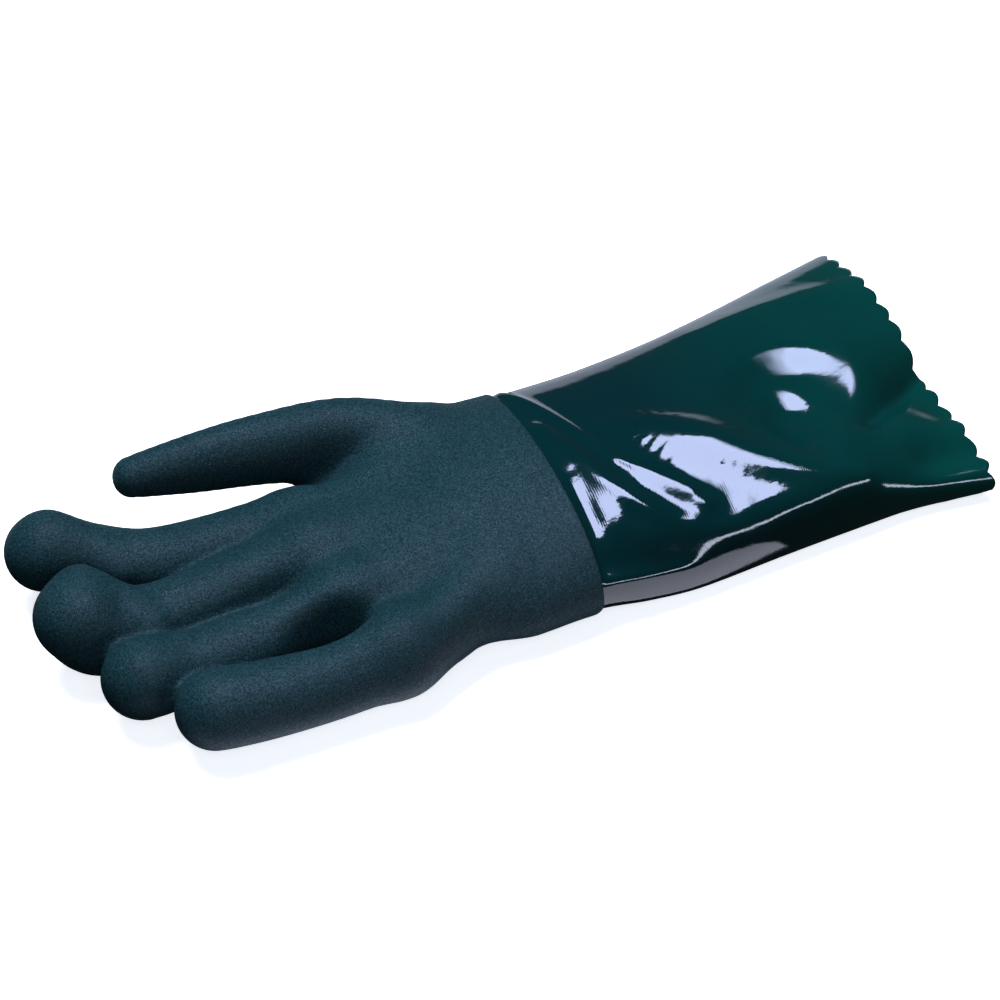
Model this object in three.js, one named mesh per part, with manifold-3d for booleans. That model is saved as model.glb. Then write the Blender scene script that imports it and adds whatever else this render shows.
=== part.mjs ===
// PVC coated work glove for the right hand, lying on its back with the palm up.
// Millimetres: +X runs from the fingertips to the mouth, +Y to the thumb side, +Z up from the table.

import * as THREE from "three";
import Module from "manifold-3d";

const wasm = await Module();
wasm.setup();

// Driving sizes: fingertips to mouth, little finger to the far corner of the mouth, table to fingertip
const GLOVE_LENGTH = 343;
const GLOVE_WIDTH = 149;
const GLOVE_HEIGHT = 40;
const GAUNTLET_WALL = 1.3;
const COAT = 1.15;
const LAP_GAP = 0.3;
const HAND_WALL = GAUNTLET_WALL + LAP_GAP + COAT;

// The shape is drawn for a glove of these sizes and stretched to the driving sizes
const DRAWN_LENGTH = 343;
const DRAWN_WIDTH = 149;
const DRAWN_HEIGHT = 40;
const STRETCH = {
  length: GLOVE_LENGTH / DRAWN_LENGTH,
  width: GLOVE_WIDTH / DRAWN_WIDTH,
  height: GLOVE_HEIGHT / DRAWN_HEIGHT,
};

// Places along the glove
const MOUTH_X = 168 * STRETCH.length;
const DIP_LINE_X = 11 * STRETCH.length;
const DIP_LINE_RECESS = 14 * STRETCH.length;
const LAP_END_X = -7 * STRETCH.length;
const RUN_ON_X = 22 * STRETCH.length;
const WRIST_FADE_X = -12 * STRETCH.length;
const DIP_LINE_HEIGHT = 12 * STRETCH.height;

// The mouth: small scallops, and a lower layer that stops short near the little finger side
const SCALLOPS = 30;
const SCALLOP_DEPTH = 1.8;
const MOUTH_STEP = 18 * STRETCH.length;
const MOUTH_STEP_FROM_Y = -52 * STRETCH.width;
const MOUTH_STEP_TO_Y = -30 * STRETCH.width;
const LOWER_LAYER_FROM_Z = 2 * STRETCH.height;
const LOWER_LAYER_TO_Z = 5 * STRETCH.height;

// How far neighbouring forms flow into each other
const FINGER_BLEND = 4;
const KNUCKLE_BLEND = 9;
const PALM_BLEND = 11;
const THUMB_BLEND = 12;
const WRIST_BLEND = 12;
const LEAST_BLEND = 0.01;
const WRIST_FADE = 0.022;

// Fineness of the facets
const HAND_CELL = stretched(7.4, 5.3, 5.3);
const BORE_CELL = stretched(8.2, 5.9, 5.9);
const HAND_BOX = new THREE.Box3(stretched(-184, -86, -14), stretched(34, 72, 60));
const RING_POINTS = 60;
const GAUNTLET_ROWS = 13;
const LAST_ROW_SHARE = 0.5;
const PROFILE_POINTS = 240;
const POCKET_ROWS = 8;
const DIP_LINE_STEPS = 6;
const CUTTER_REACH = 2 * GLOVE_LENGTH;

// How a vertex settles on the surface
const SETTLING_ROUNDS = 3;
const SETTLING_STEP = 0.25;
const LONGEST_MOVE = 2;
const LEAST_SLOPE = 0.2;

// Material values
const COAT_COLOUR = 0x28424e;
const COAT_ROUGHNESS = 0.85;
const GAUNTLET_COLOUR = 0x04413e;
const GAUNTLET_ROUGHNESS = 0.12;

// Centre lines of the digits, from the knuckle to the tip
const BONE = { x: "length", y: "width", z: "height", halfWidth: "width", halfThickness: "height" };
const INDEX = table(BONE, [
  [-72, 12.5, 15.5, 12.6, 12.8],
  [-104, 14.0, 14.0, 12.8, 12.2],
  [-128, 18.5, 13.5, 12.4, 11.6],
  [-147, 26.0, 17.0, 12.4, 12.4],
  [-160, 30.0, 21.5, 13.9, 13.9],
]);
const MIDDLE = table(BONE, [
  [-74, -8, 18.0, 14.2, 14.5],
  [-108, -8.5, 15.5, 13.0, 12.8],
  [-133, -9.5, 14.0, 12.8, 12.4],
  [-151.5, -9.0, 16.0, 15.2, 15.8],
  [-160, -7.0, 24.0, 15.2, 15.2],
]);
const RING = table(BONE, [
  [-72, -32.5, 17.0, 13.6, 14.2],
  [-104, -34, 14.8, 12.8, 12.4],
  [-129, -34.6, 13.4, 12.4, 12.0],
  [-147.5, -36.4, 17.2, 14.2, 14.2],
]);
const LITTLE = table(BONE, [
  [-64, -60, 16.0, 13.4, 15.0],
  [-90, -61, 14.5, 12.8, 13.4],
  [-112, -60.6, 15.0, 13.0, 13.4],
  [-130, -59.3, 16.8, 13.8, 13.8],
]);
const THUMB = table(BONE, [
  [-18, 28, 21.0, 14.0, 14.0],
  [-46, 38.5, 25.5, 14.6, 12.5],
  [-76, 42.5, 27.4, 13.2, 10.5],
  [-100, 44, 28.4, 10.8, 8.5],
  [-122, 45, 29.6, 7.4, 6.8],
]);
const THUMB_FLAT = new THREE.Vector3(0.2, 0.63, 0.72);
const ACROSS = new THREE.Vector3(0, 1, 0);

// The palm between each knuckle and the wrist
const PALM_UNDER_INDEX = table(BONE, [
  [-72, 11.5, 15.5, 11.5, 12.5],
  [-30, 16, 18.0, 16.5, 15.5],
]);
const PALM_UNDER_MIDDLE = table(BONE, [
  [-74, -8, 18.0, 14.2, 14.5],
  [-30, -8, 18.0, 20.0, 16.0],
]);
const PALM_UNDER_RING = table(BONE, [
  [-72, -32, 17.0, 14.0, 14.5],
  [-30, -26, 18.0, 20.0, 16.0],
]);
const PALM_UNDER_LITTLE = table(BONE, [
  [-64, -59, 16.0, 12.5, 14.5],
  [-46, -55, 16.5, 12.0, 14.5],
  [-26, -45, 17.0, 13.0, 15.0],
]);

// Soft dents where the fingers part
const DENT = {
  x: "length",
  y: "width",
  z: "height",
  alongX: "length",
  alongY: "width",
  alongZ: "height",
  depth: "height",
};
const DENTS = table(DENT, [
  [-84, -46.5, 26, 10, 5, 12, 7],
  [-97, -21, 28, 10, 4, 7, 3],
  [-58, 21, 30, 9, 7, 12, 3],
]);

// Cross-sections of the wrist and the gauntlet
const SECTION = {
  x: "length",
  near: "width",
  far: "width",
  widestZ: "height",
  base: "height",
  top: "height",
  nearFullness: "none",
  farFullness: "none",
  baseFullness: "none",
};
const SECTIONS = table(SECTION, [
  [-40, -66.0, 46.0, 14.0, 1.3, 33.5, 2.0, 2.0, 3.0],
  [-10, -63.5, 44.5, 13.0, 1.3, 36.5, 2.0, 2.0, 3.2],
  [11, -62.5, 43.0, 12.5, 1.3, 38.0, 2.1, 2.0, 3.4],
  [30, -63.5, 45.5, 9.5, 0.4, 37.5, 2.2, 2.0, 4.0],
  [50, -63.5, 48.5, 7.5, 0.0, 36.5, 2.3, 2.0, 5.0],
  [83, -61.0, 54.0, 6.5, 0.0, 34.5, 2.2, 2.0, 5.0],
  [113, -59.5, 60.0, 6.5, 0.0, 33.0, 2.1, 2.0, 5.0],
  [138, -59.0, 66.5, 6.5, 0.0, 30.0, 2.0, 2.0, 5.0],
  [168, -63.0, 74.5, 6.5, 0.0, 26.5, 2.0, 2.0, 5.0],
]);

// Folds of the upper side of the gauntlet: ridges have a positive height, valleys a negative one
const FOLD = {
  fromX: "length",
  fromY: "width",
  toX: "length",
  toY: "width",
  halfWidth: "width",
  height: "height",
};
const FOLDS = table(FOLD, [
  [196, 13, 142, -22, 11.0, -17.0],
  [142, -22, 120, -34, 9.0, -3.5],
  [204, -24, 166, -27, 14.0, -10.5],
  [200, -50, 150, -50, 10.0, -5.0],
  [196, 37, 128, 38, 8.0, 1.6],
  [46, 8, 66, -8, 7.0, 1.6],
  [66, -8, 92, -26, 8.0, 2.4],
  [48, -36, 76, -48, 6.0, -2.0],
  [16, 40, 27, -8, 3.6, -1.6],
  [27, -8, 50, -42, 4.0, -2.2],
  [24, -34, 34, -58, 5.5, 1.8],
  [112, -10, 117, -12, 8.5, -3.6],
  [128, 14, 136, -12, 6.0, 1.4],
]);
const FOLD_START_X = 10 * STRETCH.length;
const FOLD_RISE = 9 * STRETCH.length;
const TOP_START = 0.2;
const TOP_FULL = 0.62;
const LEAST_HEIGHT = 3 * GAUNTLET_WALL;

// Rows of numbers as objects with the named columns, each stretched with the size it belongs to
function table(columns, rows) {
  const stretchOf = { ...STRETCH, none: 1 };
  const entries = Object.entries(columns);
  const named = (row) => entries.map(([name, size], i) => [name, row[i] * stretchOf[size]]);
  return rows.map((row) => Object.fromEntries(named(row)));
}

function stretched(x, y, z) {
  return new THREE.Vector3(x * STRETCH.length, y * STRETCH.width, z * STRETCH.height);
}

function smoothstep(from, to, value) {
  return THREE.MathUtils.smoothstep(value, Math.min(from, to), Math.max(from, to));
}

// Union of two distance fields with a fillet of the given size
function blend(a, b, size) {
  const near = Math.max(size - Math.abs(a - b), 0) / size;
  return Math.min(a, b) - near * near * size * 0.25;
}

// Distance to an ellipsoid swept along the line from one row of a bone table to the next
function segmentDistance(point, from, to, flat) {
  const start = new THREE.Vector3(from.x, from.y, from.z);
  const axis = new THREE.Vector3(to.x, to.y, to.z).sub(start);
  const length = axis.length();
  axis.normalize();
  const wide = flat.clone().addScaledVector(axis, -flat.dot(axis)).normalize();
  const thick = axis.clone().cross(wide);
  const offset = point.clone().sub(start);
  const t = THREE.MathUtils.clamp(offset.dot(axis) / length, 0, 1);
  offset.addScaledVector(axis, -t * length);
  const halfWidth = THREE.MathUtils.lerp(from.halfWidth, to.halfWidth, t);
  const halfThickness = THREE.MathUtils.lerp(from.halfThickness, to.halfThickness, t);
  const halfEnd = Math.min(halfWidth, halfThickness);
  const u = offset.dot(wide) / halfWidth;
  const v = offset.dot(thick) / halfThickness;
  const w = offset.dot(axis) / halfEnd;
  const reach = Math.hypot(u, v, w) + 1e-9;
  const slope = Math.hypot(u / halfWidth, v / halfThickness, w / halfEnd) + 1e-9;
  return (reach * (reach - 1)) / slope;
}

function boneDistance(point, rows, blendSize, flat = ACROSS) {
  let distance = Infinity;
  for (let i = 0; i + 1 < rows.length; i += 1) {
    const next = segmentDistance(point, rows[i], rows[i + 1], flat);
    distance = i === 0 ? next : blend(distance, next, blendSize);
  }
  return distance;
}

// Section values at any x, eased from row to row
function sectionAt(x) {
  const last = SECTIONS.length - 1;
  const at = THREE.MathUtils.clamp(x, SECTIONS[0].x, SECTIONS[last].x);
  let i = 0;
  while (i < last - 1 && SECTIONS[i + 1].x < at) i += 1;
  const span = SECTIONS[i + 1].x - SECTIONS[i].x;
  const t = (at - SECTIONS[i].x) / span;
  const slopeAt = (k, name) => {
    const a = SECTIONS[Math.max(k - 1, 0)];
    const b = SECTIONS[Math.min(k + 1, last)];
    return ((b[name] - a[name]) / (b.x - a.x)) * span;
  };
  const section = {};
  for (const name of Object.keys(SECTIONS[0])) {
    const a = SECTIONS[i][name];
    const b = SECTIONS[i + 1][name];
    const change = b - a;
    const startSlope = slopeAt(i, name);
    const endSlope = slopeAt(i + 1, name);
    const curve = startSlope * (1 - t) * (1 - t) * t - endSlope * t * t * (1 - t);
    section[name] = a + change * t * t * (3 - 2 * t) + curve;
  }
  section.middle = (section.near + section.far) / 2;
  section.halfWidth = (section.far - section.near) / 2;
  return section;
}

// Distance to the wrist's section
function sectionDistance(point) {
  const section = sectionAt(point.x);
  const side = (point.y - section.middle) / section.halfWidth;
  const upper = point.z > section.widestZ;
  const height = upper ? section.top - section.widestZ : section.widestZ - section.base;
  const upperFullness = side < 0 ? section.nearFullness : section.farFullness;
  const power = upper ? upperFullness : section.baseFullness;
  const u = Math.abs(side);
  const w = Math.abs(point.z - section.widestZ) / height;
  const reach = (u ** power + w ** power) ** (1 / power) + 1e-9;
  const slopeY = (u / reach) ** (power - 1) / section.halfWidth;
  const slopeZ = (w / reach) ** (power - 1) / height;
  return (reach - 1) / (Math.hypot(slopeY, slopeZ) + 1e-9);
}

function dentDepth(point) {
  let depth = 0;
  for (const dent of DENTS) {
    const u = (point.x - dent.x) / dent.alongX;
    const v = (point.y - dent.y) / dent.alongY;
    const w = (point.z - dent.z) / dent.alongZ;
    depth += dent.depth * Math.exp(-(u * u + v * v + w * w));
  }
  return depth;
}

// The outside of the coated hand: negative inside, running on past the dip line
function handDistance(point) {
  let fingers = boneDistance(point, INDEX, FINGER_BLEND);
  for (const digit of [MIDDLE, RING, LITTLE]) {
    fingers = blend(fingers, boneDistance(point, digit, FINGER_BLEND), FINGER_BLEND);
  }
  let palm = boneDistance(point, PALM_UNDER_INDEX, PALM_BLEND);
  for (const strip of [PALM_UNDER_MIDDLE, PALM_UNDER_RING, PALM_UNDER_LITTLE]) {
    palm = blend(palm, boneDistance(point, strip, PALM_BLEND), PALM_BLEND);
  }
  const fade = Math.max(WRIST_FADE_X - point.x, 0);
  const wrist = sectionDistance(point) - COAT - LAP_GAP + WRIST_FADE * fade * fade;
  let hand = blend(fingers, palm, KNUCKLE_BLEND);
  const wristBlend = WRIST_BLEND * (1 - smoothstep(WRIST_FADE_X, DIP_LINE_X, point.x)) + LEAST_BLEND;
  hand = blend(hand, wrist, wristBlend);
  hand = blend(hand, boneDistance(point, THUMB, FINGER_BLEND, THUMB_FLAT), THUMB_BLEND);
  return Math.max(hand + dentDepth(point), point.x - RUN_ON_X);
}

// Moves a point onto the surface where the field has the given level
function projectToLevel(point, field, level) {
  const gradient = new THREE.Vector3();
  for (let i = 0; i < SETTLING_ROUNDS; i += 1) {
    const value = field(point) - level;
    for (const axis of ["x", "y", "z"]) {
      const ahead = point.clone();
      const behind = point.clone();
      ahead[axis] += SETTLING_STEP;
      behind[axis] -= SETTLING_STEP;
      gradient[axis] = (field(ahead) - field(behind)) / (2 * SETTLING_STEP);
    }
    const slope = Math.max(gradient.lengthSq(), LEAST_SLOPE);
    point.addScaledVector(gradient, THREE.MathUtils.clamp(-value / slope, -LONGEST_MOVE, LONGEST_MOVE));
  }
  return point;
}

// Fills the nodes where two parts of the solid would only meet along an edge of the surface
function fillPinches(values, count, nodeIndex) {
  const filled = -1e-3;
  const planes = [[0, 1], [1, 2], [0, 2]];
  let changed = true;
  while (changed) {
    changed = false;
    for (let i = 0; i < count[0]; i += 1) {
      for (let j = 0; j < count[1]; j += 1) {
        for (let k = 0; k < count[2]; k += 1) {
          for (const [u, v] of planes) {
            const step = (a, b) => {
              const node = [i, j, k];
              node[u] += a;
              node[v] += b;
              return nodeIndex(...node);
            };
            const face = [step(0, 0), step(1, 1), step(1, 0), step(0, 1)];
            const inside = face.map((node) => values[node] < 0);
            if (inside[0] !== inside[1] || inside[2] !== inside[3] || inside[0] === inside[2]) continue;
            const [a, b] = inside[0] ? [face[2], face[3]] : [face[0], face[1]];
            values[values[a] < values[b] ? a : b] = filled;
            changed = true;
          }
        }
      }
    }
  }
}

// Closed surface of a field's level inside a box, one vertex per crossed cell
function fieldSurface(field, level, box, cell) {
  const size = box.getSize(new THREE.Vector3()).divide(cell);
  const count = [Math.ceil(size.x), Math.ceil(size.y), Math.ceil(size.z)];
  const nodeAt = (i, j, k) => new THREE.Vector3(i, j, k).multiply(cell).add(box.min);
  const nodeIndex = (i, j, k) => (i * (count[1] + 1) + j) * (count[2] + 1) + k;
  const values = [];
  for (let i = 0; i <= count[0]; i += 1) {
    for (let j = 0; j <= count[1]; j += 1) {
      for (let k = 0; k <= count[2]; k += 1) {
        values.push(field(nodeAt(i, j, k)) - level);
      }
    }
  }
  fillPinches(values, count, nodeIndex);
  const corners = [0, 1, 2, 3, 4, 5, 6, 7].map((c) => [c & 1, (c >> 1) & 1, (c >> 2) & 1]);
  const vertices = [];
  const vertexOfCell = new Map();
  const cellVertex = (i, j, k) => {
    const key = nodeIndex(i, j, k);
    if (vertexOfCell.has(key)) return vertexOfCell.get(key);
    const sum = new THREE.Vector3();
    let crossings = 0;
    for (const corner of corners) {
      for (let axis = 0; axis < 3; axis += 1) {
        if (corner[axis] === 1) continue;
        const other = corner.map((value, a) => (a === axis ? 1 : value));
        const va = values[nodeIndex(i + corner[0], j + corner[1], k + corner[2])];
        const vb = values[nodeIndex(i + other[0], j + other[1], k + other[2])];
        if (va < 0 === vb < 0) continue;
        const a = nodeAt(i + corner[0], j + corner[1], k + corner[2]);
        const b = nodeAt(i + other[0], j + other[1], k + other[2]);
        sum.add(a.lerp(b, va / (va - vb)));
        crossings += 1;
      }
    }
    const vertex = projectToLevel(sum.divideScalar(crossings), field, level);
    vertexOfCell.set(key, vertices.length);
    vertices.push(vertex);
    return vertices.length - 1;
  };
  const triangles = [];
  for (let i = 0; i <= count[0]; i += 1) {
    for (let j = 0; j <= count[1]; j += 1) {
      for (let k = 0; k <= count[2]; k += 1) {
        const here = values[nodeIndex(i, j, k)];
        for (let axis = 0; axis < 3; axis += 1) {
          const node = [i, j, k];
          if (node[axis] === count[axis]) continue;
          const next = node.map((value, a) => value + (a === axis ? 1 : 0));
          const there = values[nodeIndex(...next)];
          if (here < 0 === there < 0) continue;
          const u = (axis + 1) % 3;
          const v = (axis + 2) % 3;
          const cellAt = (du, dv) => {
            const c = node.slice();
            c[u] -= du;
            c[v] -= dv;
            return cellVertex(...c);
          };
          const ring = [cellAt(1, 1), cellAt(0, 1), cellAt(0, 0), cellAt(1, 0)];
          if (here > 0) ring.reverse();
          addQuad(triangles, vertices, ring);
        }
      }
    }
  }
  return { vertices, triangles };
}

// Two triangles for a ring of four, split along the shorter diagonal
function addQuad(triangles, vertices, ring) {
  const [a, b, c, d] = ring;
  const across = vertices[a].distanceToSquared(vertices[c]);
  const other = vertices[b].distanceToSquared(vertices[d]);
  if (across <= other) triangles.push([a, b, c], [a, c, d]);
  else triangles.push([a, b, d], [b, c, d]);
}

// A solid of closed triangles, turned so that its faces point out
function solidFrom({ vertices, triangles }) {
  let volume = 0;
  for (const [a, b, c] of triangles) {
    volume += vertices[a].dot(vertices[b].clone().cross(vertices[c]));
  }
  const outward = volume > 0 ? triangles : triangles.map(([a, b, c]) => [a, c, b]);
  const vertProperties = new Float32Array(vertices.flatMap((vertex) => vertex.toArray()));
  const triVerts = new Uint32Array(outward.flat());
  return new wasm.Manifold(new wasm.Mesh({ numProp: 3, vertProperties, triVerts }));
}

// Upright prism across the glove over an outline given in X and Z
function prismAcross(outline, halfLength) {
  const vertices = [];
  const triangles = [];
  const n = outline.length;
  for (const y of [-halfLength, halfLength]) {
    for (const point of outline) vertices.push(new THREE.Vector3(point.x, y, point.y));
  }
  for (let i = 0; i < n; i += 1) {
    const j = (i + 1) % n;
    addQuad(triangles, vertices, [i, j, n + j, n + i]);
  }
  for (const [a, b, c] of THREE.ShapeUtils.triangulateShape(outline, [])) {
    triangles.push([a, c, b], [n + a, n + b, n + c]);
  }
  return solidFrom({ vertices, triangles });
}

// Closed loop of the section at x, as evenly spaced points in Y and Z that start at the base
function sectionLoop(x, points) {
  const section = sectionAt(x);
  const profile = [];
  for (let i = 0; i < PROFILE_POINTS; i += 1) {
    const angle = (i / PROFILE_POINTS) * Math.PI * 2 - Math.PI / 2;
    const cosine = Math.cos(angle);
    const sine = Math.sin(angle);
    const upperFullness = cosine < 0 ? section.nearFullness : section.farFullness;
    const power = sine > 0 ? upperFullness : section.baseFullness;
    const height = sine > 0 ? section.top - section.widestZ : section.widestZ - section.base;
    const y = section.middle + section.halfWidth * Math.sign(cosine) * Math.abs(cosine) ** (2 / power);
    const z = section.widestZ + height * Math.sign(sine) * Math.abs(sine) ** (2 / power);
    profile.push(new THREE.Vector2(y, z));
  }
  const lengths = [0];
  for (let i = 0; i < profile.length; i += 1) {
    const next = profile[(i + 1) % profile.length];
    lengths.push(lengths[i] + profile[i].distanceTo(next));
  }
  const loop = [];
  let k = 0;
  for (let i = 0; i < points; i += 1) {
    const target = (i / points) * lengths[profile.length];
    while (lengths[k + 1] < target) k += 1;
    const t = (target - lengths[k]) / (lengths[k + 1] - lengths[k]);
    loop.push(profile[k].clone().lerp(profile[(k + 1) % profile.length], t));
  }
  return loop;
}

// How far a fold lifts or sinks the upper side
function foldHeight(x, y) {
  let height = 0;
  const here = new THREE.Vector3(x, y, 0);
  const nearest = new THREE.Vector3();
  for (const fold of FOLDS) {
    const from = new THREE.Vector3(fold.fromX, fold.fromY, 0);
    const to = new THREE.Vector3(fold.toX, fold.toY, 0);
    new THREE.Line3(from, to).closestPointToPoint(here, true, nearest);
    const away = here.distanceTo(nearest) / fold.halfWidth;
    height += fold.height * Math.exp(-away * away);
  }
  return height * smoothstep(FOLD_START_X, FOLD_START_X + FOLD_RISE, x);
}

// A point of the gauntlet's outside: fraction counts round the section from the base
function gauntletPoint(x, fraction, loop) {
  const place = loop[Math.round(fraction * loop.length) % loop.length];
  const section = sectionAt(x);
  const rise = (place.y - section.widestZ) / (section.top - section.widestZ);
  const lift = foldHeight(x, place.x) * smoothstep(TOP_START, TOP_FULL, rise);
  const lowest = Math.min(place.y, LEAST_HEIGHT);
  return new THREE.Vector3(x, place.x, Math.max(place.y + lift, lowest, 0));
}

// Where the mouth ends at a point of its loop: the lower layer stops short at the near corner
function mouthX(place, fraction) {
  const low = 1 - smoothstep(LOWER_LAYER_FROM_Z, LOWER_LAYER_TO_Z, place.y);
  const nearSide = 1 - smoothstep(MOUTH_STEP_FROM_Y, MOUTH_STEP_TO_Y, place.x);
  const scallop = Math.abs(Math.sin(fraction * SCALLOPS * Math.PI));
  return MOUTH_X - MOUTH_STEP * low * nearSide + SCALLOP_DEPTH * (scallop - 1);
}

// Points of one ring of the gauntlet, given how far along it is from 0 at the lap to 1 at the mouth
function gauntletRing(along, points) {
  const mouthLoop = sectionLoop(MOUTH_X, points);
  const scallopTop = 0.5 / SCALLOPS;
  const ring = [];
  for (let i = 0; i < points; i += 1) {
    const fraction = i / points;
    const plain = mouthX(mouthLoop[i], scallopTop);
    const end = along === 1 ? mouthX(mouthLoop[i], fraction) : plain;
    const x = THREE.MathUtils.lerp(LAP_END_X, end, along);
    ring.push(gauntletPoint(x, fraction, sectionLoop(x, points)));
  }
  return ring;
}

// The same ring moved in by a distance, in the plane of its section
function insetRing(ring, distance) {
  const n = ring.length;
  return ring.map((point, i) => {
    const before = ring[(i + n - 1) % n];
    const after = ring[(i + 1) % n];
    const inward = new THREE.Vector2(-(after.z - before.z), after.y - before.y).normalize();
    const z = Math.max(point.z + inward.y * distance, distance);
    return new THREE.Vector3(point.x, point.y + inward.x * distance, z);
  });
}

// Joins two rings, the second with as many points or twice as many
function joinRings(triangles, vertices, first, second) {
  const n = first.length;
  const ratio = second.length / n;
  for (let i = 0; i < n; i += 1) {
    const j = (i + 1) % n;
    if (ratio === 1) {
      addQuad(triangles, vertices, [first[i], first[j], second[j], second[i]]);
      continue;
    }
    const half = second[2 * i + 1];
    triangles.push([first[i], half, second[2 * i]]);
    triangles.push([first[i], first[j], half]);
    triangles.push([first[j], second[(2 * i + 2) % second.length], half]);
  }
}

// The gauntlet: a tube with an outer and an inner skin joined at the lap and at the mouth
function makeGauntlet() {
  const outer = [];
  for (let row = 0; row < GAUNTLET_ROWS; row += 1) {
    outer.push(gauntletRing(row / (GAUNTLET_ROWS - LAST_ROW_SHARE), RING_POINTS));
  }
  outer.push(gauntletRing(1, RING_POINTS * 2));
  const inner = outer.map((ring) => insetRing(ring, GAUNTLET_WALL));
  const vertices = [];
  const numbered = (ring) => ring.map((point) => vertices.push(point) - 1);
  const outerRings = outer.map(numbered);
  const innerRings = inner.map(numbered);
  const triangles = [];
  for (let row = 0; row < GAUNTLET_ROWS; row += 1) {
    joinRings(triangles, vertices, outerRings[row], outerRings[row + 1]);
    const flipped = [];
    joinRings(flipped, vertices, innerRings[row], innerRings[row + 1]);
    triangles.push(...flipped.map(([a, b, c]) => [a, c, b]));
  }
  joinRings(triangles, vertices, innerRings[0], outerRings[0]);
  joinRings(triangles, vertices, outerRings[GAUNTLET_ROWS], innerRings[GAUNTLET_ROWS]);
  return solidFrom({ vertices, triangles });
}

// The room that the gauntlet's wrist end takes inside the hand
function makeLapPocket() {
  const start = LAP_END_X - LAP_GAP;
  const end = DIP_LINE_X + DIP_LINE_RECESS;
  const vertices = [];
  const triangles = [];
  let before = null;
  for (let row = 0; row <= POCKET_ROWS; row += 1) {
    const x = THREE.MathUtils.lerp(start, end, row / POCKET_ROWS);
    const loop = sectionLoop(x, RING_POINTS);
    const ring = loop.map((place, i) => {
      const back = loop[(i + RING_POINTS - 1) % RING_POINTS];
      const next = loop[(i + 1) % RING_POINTS];
      const outward = new THREE.Vector2(next.y - back.y, -(next.x - back.x)).normalize();
      const y = place.x + outward.x * LAP_GAP;
      const z = place.y + outward.y * LAP_GAP;
      return vertices.push(new THREE.Vector3(x, y, z)) - 1;
    });
    if (before) joinRings(triangles, vertices, before, ring);
    if (row === 0 || row === POCKET_ROWS) {
      const centre = new THREE.Vector3(x, sectionAt(x).middle, sectionAt(x).widestZ);
      const hub = vertices.push(centre) - 1;
      for (let i = 0; i < RING_POINTS; i += 1) {
        const j = (i + 1) % RING_POINTS;
        triangles.push(row === 0 ? [ring[j], ring[i], hub] : [ring[i], ring[j], hub]);
      }
    }
    before = ring;
  }
  return solidFrom({ vertices, triangles });
}

// Everything past the dip line, which runs back toward the fingers near the table
function makeDipLineCutter() {
  const outline = [new THREE.Vector2(DIP_LINE_X, CUTTER_REACH)];
  for (let i = 0; i <= DIP_LINE_STEPS; i += 1) {
    const down = i / DIP_LINE_STEPS;
    const back = DIP_LINE_RECESS * down ** 2;
    outline.push(new THREE.Vector2(DIP_LINE_X - back, DIP_LINE_HEIGHT * (1 - down)));
  }
  outline.push(new THREE.Vector2(DIP_LINE_X - DIP_LINE_RECESS, -CUTTER_REACH));
  outline.push(new THREE.Vector2(CUTTER_REACH, -CUTTER_REACH));
  outline.push(new THREE.Vector2(CUTTER_REACH, CUTTER_REACH));
  return prismAcross(outline, CUTTER_REACH);
}

// A block from far below up to the given height
function blockBelow(height) {
  const outline = [
    new THREE.Vector2(-CUTTER_REACH, -CUTTER_REACH),
    new THREE.Vector2(CUTTER_REACH, -CUTTER_REACH),
    new THREE.Vector2(CUTTER_REACH, height),
    new THREE.Vector2(-CUTTER_REACH, height),
  ];
  return prismAcross(outline, CUTTER_REACH);
}

// The coated hand: its outside less the room for the hand, the lap and what lies past the dip line
function makeHandCoating() {
  const outside = solidFrom(fieldSurface(handDistance, 0, HAND_BOX, HAND_CELL));
  const bore = solidFrom(fieldSurface(handDistance, -HAND_WALL, HAND_BOX, BORE_CELL));
  const openBore = bore.subtract(blockBelow(HAND_WALL));
  return outside
    .subtract(openBore)
    .subtract(makeLapPocket())
    .subtract(makeDipLineCutter())
    .subtract(blockBelow(0));
}

function meshFrom(solid, name, colour, roughness) {
  const { vertProperties, triVerts } = solid.getMesh();
  const geometry = new THREE.BufferGeometry();
  geometry.setAttribute("position", new THREE.BufferAttribute(vertProperties, 3));
  geometry.setIndex(new THREE.BufferAttribute(triVerts, 1));
  geometry.computeVertexNormals();
  const material = new THREE.MeshStandardMaterial({ color: colour, roughness, metalness: 0 });
  const mesh = new THREE.Mesh(geometry, material);
  mesh.name = name;
  return mesh;
}

const glove = new THREE.Group();
glove.add(meshFrom(makeHandCoating(), "hand_coating", COAT_COLOUR, COAT_ROUGHNESS));
glove.add(meshFrom(makeGauntlet(), "gauntlet", GAUNTLET_COLOUR, GAUNTLET_ROUGHNESS));

// The origin is the middle of the glove's box, on the table
const bounds = new THREE.Box3().setFromObject(glove);
const centre = bounds.getCenter(new THREE.Vector3());
glove.position.set(-centre.x, -centre.y, -bounds.min.z);
glove.updateMatrixWorld(true);

export default glove;
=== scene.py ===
import math

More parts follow.
